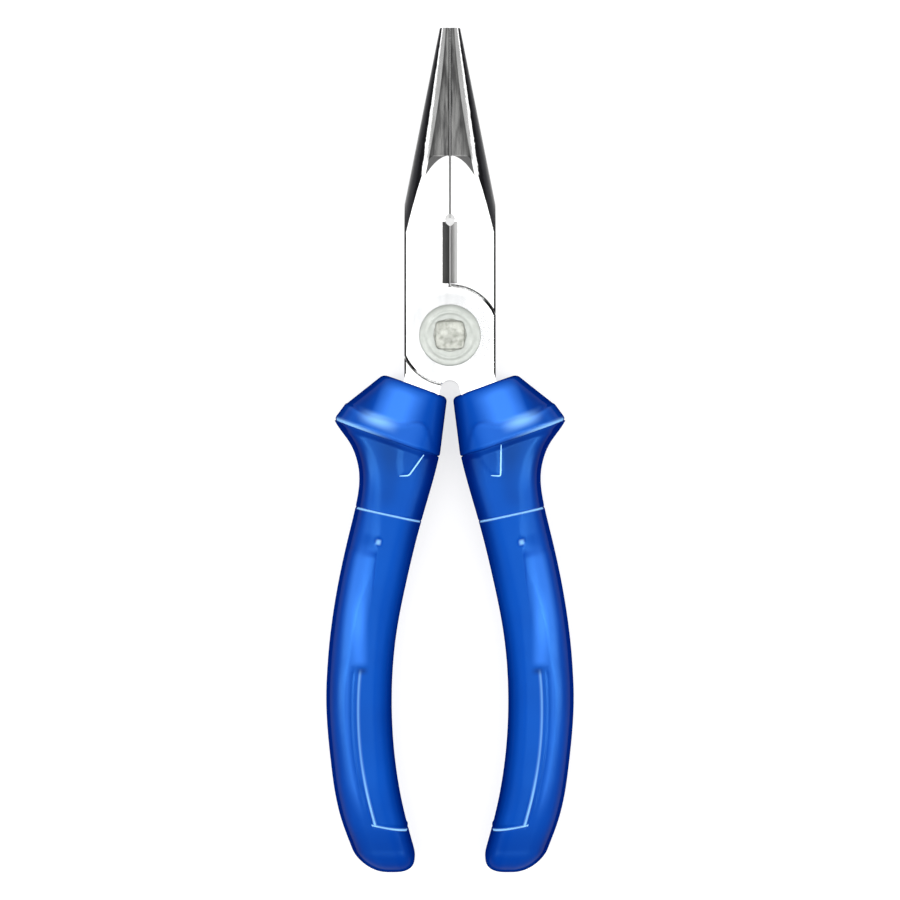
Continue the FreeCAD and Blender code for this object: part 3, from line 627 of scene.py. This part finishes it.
def to_frame(points, turned):
    """Millimetres about the pivot to the frame's metres; turned gives the left grip."""
    points = np.asarray(points, float).copy()
    if turned:
        points[:, [0, 2]] *= -1
    return points * MM + PIVOT


def make_piece(name, points, faces, material, body, replaced, turned=False, shades=()):
    """A smooth piece that rides on a body and replaces CAD nodes, with its shades as point attributes."""
    mesh = bpy.data.meshes.new(name)
    mesh.from_pydata(to_frame(points, turned).tolist(), [], faces)
    for shade, values in shades:
        attribute = mesh.attributes.new(shade, "FLOAT", "POINT")
        attribute.data.foreach_set("value", np.asarray(values, np.float32))
    mesh.validate()
    fix_normals(mesh)
    mesh.polygons.foreach_set("use_smooth", [True] * len(mesh.polygons))
    mesh.set_sharp_from_angle(angle=math.radians(SHARP_ANGLE))
    mesh.materials.append(material)
    piece = bpy.data.objects.new(name, mesh)
    bpy.context.collection.objects.link(piece)
    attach(piece, body)
    if replaced:
        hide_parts(*replaced)


def fix_normals(mesh):
    """Turns every face outward."""
    work = bmesh.new()
    work.from_mesh(mesh)
    bmesh.ops.recalc_face_normals(work, faces=work.faces)
    work.to_mesh(mesh)
    work.free()


def make_sleeve(side, grid, shaped, shades, material, body):
    """The hard sleeve: the whole grip with a pocket where the inlay sits. Gives its points and faces."""
    half_step = 0.5 * SEAM_STEPS[1]
    pocket = (grid.past_seam > half_step) & (grid.along < STEP_AT - half_step)
    pocket &= grid.along > PANEL_END + half_step
    points = np.where(pocket[..., None], grid.points - grid.normals(grid.points) * POCKET_DEEP, shaped)
    rows, columns = points.shape[:2]
    count = rows * columns
    flat = np.vstack((points.reshape(-1, 3), points[0].mean(axis=0), points[-1].mean(axis=0)))
    faces = ring_faces(rows, columns)
    faces += fan(range(columns), count)
    faces += fan(range(count - columns, count), count + 1)
    shades = [(shade, np.concatenate((values.ravel(), [0, 0]))) for shade, values in shades]
    make_piece(f"{side}_sleeve", flat, faces, material, body, [f"{side}_grip_sleeve"],
               side == "left", shades)
    return flat, faces


def rib(path, height_at):
    """A thin round rib that lies along a path of (x, y) on the grip's front: its points and faces."""
    points = []
    path = np.array(path, float)
    lengths = np.concatenate(([0], np.cumsum(np.linalg.norm(np.diff(path, axis=0), axis=1))))
    places = np.linspace(0, lengths[-1], int(lengths[-1] / RIB_STEP))
    line = np.column_stack([np.interp(places, lengths, path[:, k]) for k in (0, 1)])
    for _ in range(RIB_PASSES):
        line[1:-1] = (line[:-2] + 2 * line[1:-1] + line[2:]) / 4
    heading = np.gradient(line, axis=0)
    for i, (x, y) in enumerate(line):
        across = np.array([-heading[i, 1], heading[i, 0]]) / np.linalg.norm(heading[i])
        taper = math.sin(math.pi * (i + 0.3) / (len(line) - 0.4)) ** 0.25
        z = height_at(x, y)
        for k in range(RIB_SIDES):
            turn = 2 * math.pi * k / RIB_SIDES
            sideways, up = RIB_RADIUS * taper * math.cos(turn), RIB_RADIUS * taper * math.sin(turn)
            points.append((x + across[0] * sideways, y + across[1] * sideways, z + up))
    faces = ring_faces(len(line), RIB_SIDES)
    faces.append(tuple(range(RIB_SIDES)))
    faces.append(tuple(range(len(points) - RIB_SIDES, len(points))))
    return np.array(points), faces


def make_ribs(side, sleeve_points, sleeve_faces, material, body):
    """The fine moulded ribs on the tab's lit edges, front and back, coloured as a painted highlight."""
    tree = BVHTree.FromPolygons(sleeve_points.tolist(), sleeve_faces)

    def height_at(x, y):
        return tree.ray_cast(Vector((x, y, 50)), Vector((0, 0, -1)))[0].z

    points, faces = rib(TAB[1:] if side == "right" else TAB[2::-1], height_at)
    back = points * np.array([1, 1, -1])
    shifted = [tuple(index + len(points) for index in face) for face in faces]
    make_piece(f"{side}_ribs", np.vstack((points, back)), faces + shifted, material, body, [],
               side == "left")


def make_inlay(side, grid, shaped, shades, material, body):
    """The soft inlay: a thin closed shell over the grip's inner side, in the sleeve's pocket."""
    level = grid.along[:, 0]
    row_pick = np.where((level < STEP_AT + TOUCH) & (level > PANEL_END - TOUCH))[0]
    seam = grid.past_seam[row_pick[0]]
    column_pick = np.where(seam > -TOUCH)[0]
    pick = np.ix_(row_pick, column_pick)
    outer = shaped[pick]
    inner = (grid.points - grid.normals(grid.points) * INLAY_THICK)[pick]
    rows, columns = outer.shape[:2]
    count = rows * columns
    faces = sheet_faces(rows, columns) + [face[::-1] for face in sheet_faces(rows, columns, count)]
    indices = np.arange(count).reshape(rows, columns)
    for edge in (indices[0], indices[-1][::-1], indices[::-1, 0], indices[:, -1]):
        faces += [(a, b, count + b, count + a) for a, b in zip(edge[:-1].tolist(), edge[1:].tolist())]
    points = np.vstack((outer.reshape(-1, 3), inner.reshape(-1, 3)))
    shades = [(shade, np.concatenate((values[pick].ravel(), np.zeros(count)))) for shade, values in shades]
    make_piece(f"{side}_inlay", points, faces, material, body, [f"{side}_grip_inlay"],
               side == "left", shades)


# ---------------------------------------------------------------- the rivet


def squared_ring(half, square, z):
    """A ring of points: a circle at square 0, and a rounded square at square 1."""
    power = 2 + 4 * square
    ring = []
    for k in range(RIVET_SIDES):
        turn = 2 * math.pi * k / RIVET_SIDES
        x, y = math.cos(turn), math.sin(turn)
        scale = half / (abs(x) ** power + abs(y) ** power) ** (1 / power)
        ring.append((x * scale, y * scale, z))
    return ring


def stack(rings, bottom, top):
    """Points and faces of a closed solid through rings, from a bottom point to a top point."""
    points = [point for ring in rings for point in ring] + [bottom, top]
    count = len(rings) * RIVET_SIDES
    faces = ring_faces(len(rings), RIVET_SIDES)
    faces += fan(range(RIVET_SIDES), count)
    faces += fan(range(count - RIVET_SIDES, count), count + 1)
    return np.array(points), faces


def make_rivet(material):
    """The shank with its dome behind and its squared, slightly dished end in front."""
    rings = []
    for share in np.linspace(0.08, 1, 14):
        drop = HEAD_RISE - (HEAD_RISE - HEAD_EDGE) * share**2
        rings.append(squared_ring(HEAD_RADIUS * share, 0, -(SEAT + drop)))
    straight = ((HEAD_RADIUS, -SEAT - HEAD_FOOT), (HEAD_RADIUS, -SEAT), (SHANK_RADIUS, -SEAT),
                (SHANK_RADIUS, 0), (SHANK_RADIUS, WASHER_TOP))
    rings += [squared_ring(radius, 0, z) for radius, z in straight]
    top = WASHER_TOP + SQUARE_RISE
    rings.append(squared_ring(SQUARE_HALF, 1, WASHER_TOP))
    for turn in np.linspace(0, math.pi / 2, 9):
        inset, drop = SQUARE_ROUND * (1 - math.cos(turn)), SQUARE_ROUND * (1 - math.sin(turn))
        rings.append(squared_ring(SQUARE_HALF - inset, 1, top - drop))
    for share in np.linspace(0.84, 0.1, 16):
        dish = DISH_DEEP * float(bump(share, 0.0, 0.62))
        rings.append(squared_ring(SQUARE_HALF * share, max(0, (share - 0.3) / 0.6), top - dish))
    points, faces = stack(rings, (0, 0, -SEAT - HEAD_RISE), (0, 0, top - DISH_DEEP))
    make_piece("rivet", points, faces, material, "front_half", ["pivot_rivet"])


def make_washer(material):
    """The washer: a ring with a rolled rim and a shallow turned groove."""
    bore = SHANK_RADIUS + WASHER_FIT
    wide, high = WASHER_ROLL
    profile = [(bore, SEAT), (HEAD_RADIUS - WASHER_EDGE, SEAT), (HEAD_RADIUS, SEAT + WASHER_EDGE)]
    for turn in np.linspace(0, math.pi / 2, 8):
        profile.append((HEAD_RADIUS - wide * (1 - math.cos(turn)), WASHER_TOP - high * (1 - math.sin(turn))))
    for radius in np.linspace(HEAD_RADIUS - wide - 0.05, bore + 0.07, 24):
        profile.append((radius, WASHER_TOP - GROOVE_DEEP * float(bump(radius, GROOVE_AT, 0.5))))
    profile.append((bore, WASHER_TOP - 0.1))
    points = np.array([point for radius, z in profile for point in squared_ring(radius, 0, z)])
    faces = ring_faces(len(profile), RIVET_SIDES)
    last = len(points) - RIVET_SIDES
    for k in range(RIVET_SIDES):
        following = (k + 1) % RIVET_SIDES
        faces.append((last + k, last + following, following, k))
    make_piece("washer", points, faces, material, "front_half", ["rivet_washer"])


# ---------------------------------------------------------------- material nodes


def new_material(name):
    """A material, its node tree and its shader."""
    material = bpy.data.materials.new(name)
    material.use_nodes = True
    tree = material.node_tree
    return material, tree, tree.nodes["Principled BSDF"]


def node(tree, kind, **settings):
    made = tree.nodes.new(kind)
    for key, value in settings.items():
        setattr(made, key, value)
    return made


def maths(tree, operation, first, second=0.0):
    """The result of a sum on sockets or plain numbers."""
    made = node(tree, "ShaderNodeMath", operation=operation)
    for socket, value in zip(made.inputs, (first, second)):
        if isinstance(value, (int, float)):
            socket.default_value = value
        else:
            tree.links.new(value, socket)
    return made.outputs["Value"]


def product(tree, *shares):
    made = shares[0]
    for share in shares[1:]:
        made = maths(tree, "MULTIPLY", made, share)
    return made


def split(tree, vector):
    made = node(tree, "ShaderNodeSeparateXYZ")
    tree.links.new(vector, made.inputs["Vector"])
    return made.outputs


def noise(tree, scale, detail, stretch=(1, 1, 1)):
    """Noise in the object's own metres."""
    place = node(tree, "ShaderNodeTexCoord")
    mapping = node(tree, "ShaderNodeMapping")
    mapping.inputs["Scale"].default_value = stretch
    texture = node(tree, "ShaderNodeTexNoise")
    texture.inputs["Scale"].default_value = scale
    texture.inputs["Detail"].default_value = detail
    tree.links.new(place.outputs["Object"], mapping.inputs["Vector"])
    tree.links.new(mapping.outputs["Vector"], texture.inputs["Vector"])
    return texture.outputs["Fac"]


def point_value(tree, name):
    return node(tree, "ShaderNodeAttribute", attribute_name=name).outputs["Fac"]


def spread_to(tree, value, low, high, to_low=0.0, to_high=1.0):
    """Maps a socket's range low to high onto to_low to to_high, clamped."""
    shift = node(tree, "ShaderNodeMapRange")
    for key, number in zip(("From Min", "From Max", "To Min", "To Max"), (low, high, to_low, to_high)):
        shift.inputs[key].default_value = number
    tree.links.new(value, shift.inputs["Value"])
    return shift.outputs["Result"]


def below(tree, value, limit, soft):
    """1 where value is under limit and 0 over it, over a soft step."""
    over = maths(tree, "SUBTRACT", value, limit)
    return spread_to(tree, over, -soft, soft, 1, 0)


def mix_colour(tree, share, first, second):
    """A colour that goes from first to second; each is a socket or a plain colour."""
    mix = node(tree, "ShaderNodeMix", data_type="RGBA")
    tree.links.new(share, mix.inputs["Factor"])
    for socket, colour in ((mix.inputs["A"], first), (mix.inputs["B"], second)):
        if isinstance(colour, tuple):
            socket.default_value = (*colour, 1.0)
        else:
            tree.links.new(colour, socket)
    return mix.outputs["Result"]


# ---------------------------------------------------------------- materials


def grip_material(name, blues, roughness):
    """Moulded blue plastic, mottled, with painted shade on its sides, painted light and shade from the tone
    attribute, and a painted highlight where the mark attribute is 1.
    """
    material, tree, shader = new_material(name)
    place = node(tree, "ShaderNodeTexCoord")
    normal = split(tree, place.outputs["Normal"])
    facing = maths(tree, "ABSOLUTE", normal["Z"])
    mottled = mix_colour(tree, spread_to(tree, noise(tree, 70, 2), 0.25, 0.75), *blues)
    # the tone attribute is painted light and shade: under 0.5 painted shade, over 0.5 a painted highlight
    tone = point_value(tree, "tone")
    lower = mix_colour(tree, spread_to(tree, tone, 0, 0.5), PAINTED_SHADE_BLUE, mottled)
    with_painted_light = mix_colour(tree, spread_to(tree, tone, 0.5, 1), lower, PAINTED_LIGHT_BLUE)
    # painted shade: the blue is deeper where the surface faces sideways
    shade_on_sides = mix_colour(tree, spread_to(tree, facing, 0.2, 0.9), SIDE_SHADE_BLUE, with_painted_light)
    # painted highlights from the mark attribute
    tree.links.new(mix_colour(tree, point_value(tree, "painted_highlight"), shade_on_sides, PAINTED_HIGHLIGHT_BLUE), shader.inputs["Base Color"])
    uneven = spread_to(tree, noise(tree, 150, 1), 0.2, 0.8, roughness - 0.02, roughness + 0.03)
    tree.links.new(uneven, shader.inputs["Roughness"])
    # glossy in front and behind, more so on the outer side, and matt on the flanks
    across = split(tree, place.outputs["Object"])["X"]
    outward = maths(tree, "MULTIPLY", normal["X"], maths(tree, "SIGN", across))
    gloss = spread_to(tree, outward, -0.15, 0.1, 0.25, 0.75)
    level = maths(tree, "MULTIPLY", gloss, spread_to(tree, facing, 0.58, 0.93))
    tree.links.new(level, shader.inputs["Specular IOR Level"])
    shader.inputs["Specular Tint"].default_value = GLOSS_BLUE
    return material


def painted_highlight_material():
    """A painted highlight: the bright colour of a moulded rib's lit edge, mottled at random."""
    material, tree, shader = new_material("painted_highlight_blue")
    pale = tuple(min(1.0, 1.25 * channel + 0.02) for channel in PAINTED_HIGHLIGHT_BLUE)
    tone = spread_to(tree, noise(tree, 600, 3), 0.3, 0.7)
    tree.links.new(mix_colour(tree, tone, PAINTED_HIGHLIGHT_BLUE, pale), shader.inputs["Base Color"])
    shader.inputs["Roughness"].default_value = 0.3
    return material


class LeverPlace:
    """Where a shaded point of a lever is, in millimetres about the pivot, and which way it faces."""

    def __init__(self, tree):
        place = node(tree, "ShaderNodeTexCoord")
        self.tree = tree
        self.normal = split(tree, place.outputs["Normal"])
        self.spot = split(tree, place.outputs["Object"])
        self.across = maths(tree, "MULTIPLY", maths(tree, "ABSOLUTE", self.spot["X"]), 1 / MM)
        along = maths(tree, "MULTIPLY", self.spot["Y"], 1 / MM)
        self.up = maths(tree, "SUBTRACT", along, float(PIVOT[1]) / MM)
        squares = [maths(tree, "MULTIPLY", length, length) for length in (self.across, self.up)]
        self.away = maths(tree, "SQRT", maths(tree, "ADD", *squares))

    def grey_half(self):
        """Half the width of the nose's grey front: it widens from the tip, ever faster."""
        from_tip = maths(self.tree, "SUBTRACT", TIP_REACH, self.up)
        bend = maths(self.tree, "ADD", maths(self.tree, "MULTIPLY", from_tip, 0.0027), 0.06)
        return maths(self.tree, "ADD", maths(self.tree, "MULTIPLY", bend, from_tip), 0.8)

    def on_grey(self):
        """The ground front of the nose: a wedge from the tip that ends in an arch."""
        fall = maths(self.tree, "MULTIPLY", maths(self.tree, "MULTIPLY", self.across, self.across), 0.176)
        arch = maths(self.tree, "SUBTRACT", ARCH_TOP, fall)
        inside = below(self.tree, self.across, self.grey_half(), 0.08)
        return product(self.tree, inside, below(self.tree, arch, self.up, 0.12))

    def seam_shade(self):
        """Painted shade: the dark line in the gap where the two jaws meet."""
        beside = below(self.tree, self.across, 0.2, 0.03)
        return product(self.tree, beside, below(self.tree, CUT_TOP, self.up, 0.1))

    def in_cutter(self):
        """The cutter's two bevels."""
        sideways = maths(self.tree, "ABSOLUTE", self.normal["X"])
        beside = below(self.tree, self.across, CUT_HALF, 0.05)
        under, over = below(self.tree, self.up, CUT_TOP, 0.3), below(self.tree, CUT_FOOT, self.up, 0.2)
        return product(self.tree, beside, under, over, spread_to(self.tree, sideways, 0.08, 0.14))

    def rim_shade(self):
        """Painted shade: the dark line round the disc, in the two quarters of each face where it laps over
        the other lever.
        """
        off_line = maths(self.tree, "ABSOLUTE", maths(self.tree, "SUBTRACT", self.away, DISC_ROUND + 0.08))
        quarter = product(self.tree, self.spot["X"], self.up, self.normal["Z"])
        on_line, lapped = below(self.tree, off_line, 0.2, 0.08), below(self.tree, 0.0, quarter, 0.001)
        flat = below(self.tree, 0.9, maths(self.tree, "ABSOLUTE", self.normal["Z"]), 0.05)
        return product(self.tree, on_line, lapped, flat)


def steel_material(name, painted_bevel_grey):
    """Bright ground faces and a grey streaked nose, with painted shade on the flanks that face outward, and
    cutter bevels of the given grey: painted shade on one lever, painted light on the other.
    """
    material, tree, shader = new_material(name)
    place = LeverPlace(tree)
    fine = noise(tree, 700, 4, (1.6, 0.12, 1))
    streaks = noise(tree, 900, 5, (1.5, 0.03, 1.5))

    bright = mix_colour(tree, spread_to(tree, fine, 0.3, 0.7), *GROUND_GREYS)
    # painted shade: the disc round the rivet is greyer, fading out past its rim
    disc_shade = spread_to(tree, place.away, 7.6, DISC_ROUND + 1.0, 1, 0)
    disc_shaded = mix_colour(tree, disc_shade, bright, DISC_SHADE_GREY)
    streaked = mix_colour(tree, spread_to(tree, streaks, 0.38, 0.62), *STREAK_GREYS)
    to_edge = maths(tree, "DIVIDE", place.across, place.grey_half())
    edged = mix_colour(tree, spread_to(tree, to_edge, 0.55, 0.95, 0, 0.7), streaked, NOSE_EDGE_GREY)
    grey = mix_colour(tree, below(tree, place.up, ARCH_TOP - 0.05, 0.05), edged, ARCH_GREY)

    in_cutter = place.in_cutter()
    # painted shade in the gap round the lapped disc, mottled by fine noise
    rim_shade = maths(tree, "MULTIPLY", place.rim_shade(), spread_to(tree, fine, 0.3, 0.7, 0.6, 1))
    outward = maths(tree, "MULTIPLY", place.normal["X"], maths(tree, "SIGN", place.spot["X"]))
    colour = mix_colour(tree, place.on_grey(), disc_shaded, grey)
    # painted shade in the gap between the jaws
    colour = mix_colour(tree, place.seam_shade(), colour, SEAM_SHADE_GREY)
    # the cutter bevel's grey: painted shade on the front lever, painted light on the rear
    colour = mix_colour(tree, in_cutter, colour, painted_bevel_grey)
    colour = mix_colour(tree, rim_shade, colour, RIM_SHADE_GREY)
    # painted shade: steel that faces outward, on the flanks and the head's edges, is near black
    colour = mix_colour(tree, spread_to(tree, outward, 0.48, 0.51), colour, FLANK_SHADE_GREY)
    tree.links.new(colour, shader.inputs["Base Color"])
    tree.links.new(maths(tree, "SUBTRACT", 1.0, in_cutter), shader.inputs["Metallic"])
    tree.links.new(spread_to(tree, fine, 0.3, 0.7, 0.17, 0.27), shader.inputs["Roughness"])
    return material


def rivet_material(name, greys):
    """Satin steel, mottled between two tones."""
    material, tree, shader = new_material(name)
    worn = spread_to(tree, noise(tree, 800, 4), 0.35, 0.65)
    tree.links.new(mix_colour(tree, worn, *greys), shader.inputs["Base Color"])
    shader.inputs["Metallic"].default_value = 0.35
    tree.links.new(spread_to(tree, noise(tree, 900, 3), 0.3, 0.7, 0.4, 0.55), shader.inputs["Roughness"])
    return material


# ---------------------------------------------------------------- the stage


def area_light(name, place, target, width, height, radiance):
    """A rectangular softbox that faces target; radiance 1 mirrors as white."""
    data = bpy.data.lights.new(name, "AREA")
    data.shape = "RECTANGLE"
    data.size, data.size_y = width, height
    data.energy = radiance * math.pi * width * height
    light = bpy.data.objects.new(name, data)
    light.location = place
    light.rotation_euler = (Vector(target) - Vector(place)).to_track_quat("-Z", "Y").to_euler()
    bpy.context.collection.objects.link(light)


def make_floor():
    """A white floor that glows a little, so that shadows stay faint."""
    mesh = bpy.data.meshes.new("floor")
    corners = [(x * FLOOR_HALF, y * FLOOR_HALF, 0) for x, y in ((-1, -1), (1, -1), (1, 1), (-1, 1))]
    mesh.from_pydata(corners, [], [(0, 1, 2, 3)])
    material, _, shader = new_material("floor_paper")
    shader.inputs["Base Color"].default_value = (0.35, 0.35, 0.35, 1)
    shader.inputs["Roughness"].default_value = 0.9
    shader.inputs["Specular IOR Level"].default_value = 0.0
    shader.inputs["Emission Color"].default_value = (1, 1, 1, 1)
    shader.inputs["Emission Strength"].default_value = 0.7
    mesh.materials.append(material)
    floor = bpy.data.objects.new("floor", mesh)
    bpy.context.collection.objects.link(floor)


def make_lights():
    """A broad light above, a bright strip on each side, and a dimmer wing beyond each."""
    area_light("top_light", (0, -0.12, 1.0), (0, -0.12, 0), 1.0, 0.8, 1.15)
    for side, sign in (("left", -1), ("right", 1)):
        area_light(f"{side}_strip", (sign * 0.42, -0.08, 0.68), (0, -0.04, 0), 0.13, 0.8, 11)
        area_light(f"{side}_wing", (sign * 0.8, 0.32, 0.6), (0, 0.06, 0), 0.9, 0.34, 1.4)
    world = bpy.data.worlds.new("world")
    world.use_nodes = True
    background = world.node_tree.nodes["Background"]
    background.inputs["Color"].default_value = (1, 1, 1, 1)
    background.inputs["Strength"].default_value = 0.4
    bpy.context.scene.world = world
    bpy.context.scene.view_settings.view_transform = "Standard"


def make_camera():
    """The camera straight above, as far off as makes the object's length LENGTH_SHARE of the view."""
    low, high = (np.array(corner) for corner in cad_box)
    middle = (low + high) / 2
    shown = (high[1] - low[1]) / LENGTH_SHARE
    data = bpy.data.cameras.new("camera")
    data.lens, data.sensor_width = LENS, SENSOR
    camera = bpy.data.objects.new("camera", data)
    camera.location = (middle[0], middle[1], PIVOT[2] + shown * LENS / SENSOR)
    bpy.context.collection.objects.link(camera)
    bpy.context.scene.camera = camera


def main():
    sleeve = grip_material("sleeve_blue", SLEEVE_BLUES, 0.3)
    inlay = grip_material("inlay_blue", INLAY_BLUES, 0.45)
    # the ribs' material: a painted highlight
    worn = painted_highlight_material()
    grid = Grid(grip_rows())
    shaped = grid.points + grid.normals(grid.points) * surface_shape(grid)[..., None]
    shaped[..., 2] = np.clip(shaped[..., 2], -HALF_THICK, HALF_THICK)
    # mark holds painted highlights on edges, tone holds painted light and shade
    shades = [("painted_highlight", painted_highlight_share(grid)), ("tone", painted_light_share(grid))]
    for side, body in (("right", "front_half"), ("left", "rear_half")):
        sleeve_points, sleeve_faces = make_sleeve(side, grid, shaped, shades, sleeve, body)
        make_ribs(side, sleeve_points, sleeve_faces, worn, body)
        make_inlay(side, grid, shaped, shades, inlay, body)
    make_rivet(rivet_material("rivet_steel", RIVET_GREYS))
    make_washer(rivet_material("washer_steel", WASHER_GREYS))
    for name, painted_bevel_grey in BEVEL_LIGHT_AND_SHADE_GREYS.items():
        materials = frame["nodes"][name].data.materials
        steel = steel_material(f"{name}_steel", painted_bevel_grey)
        for index in range(len(materials)):
            materials[index] = steel
    make_floor()
    make_lights()
    make_camera()


main()
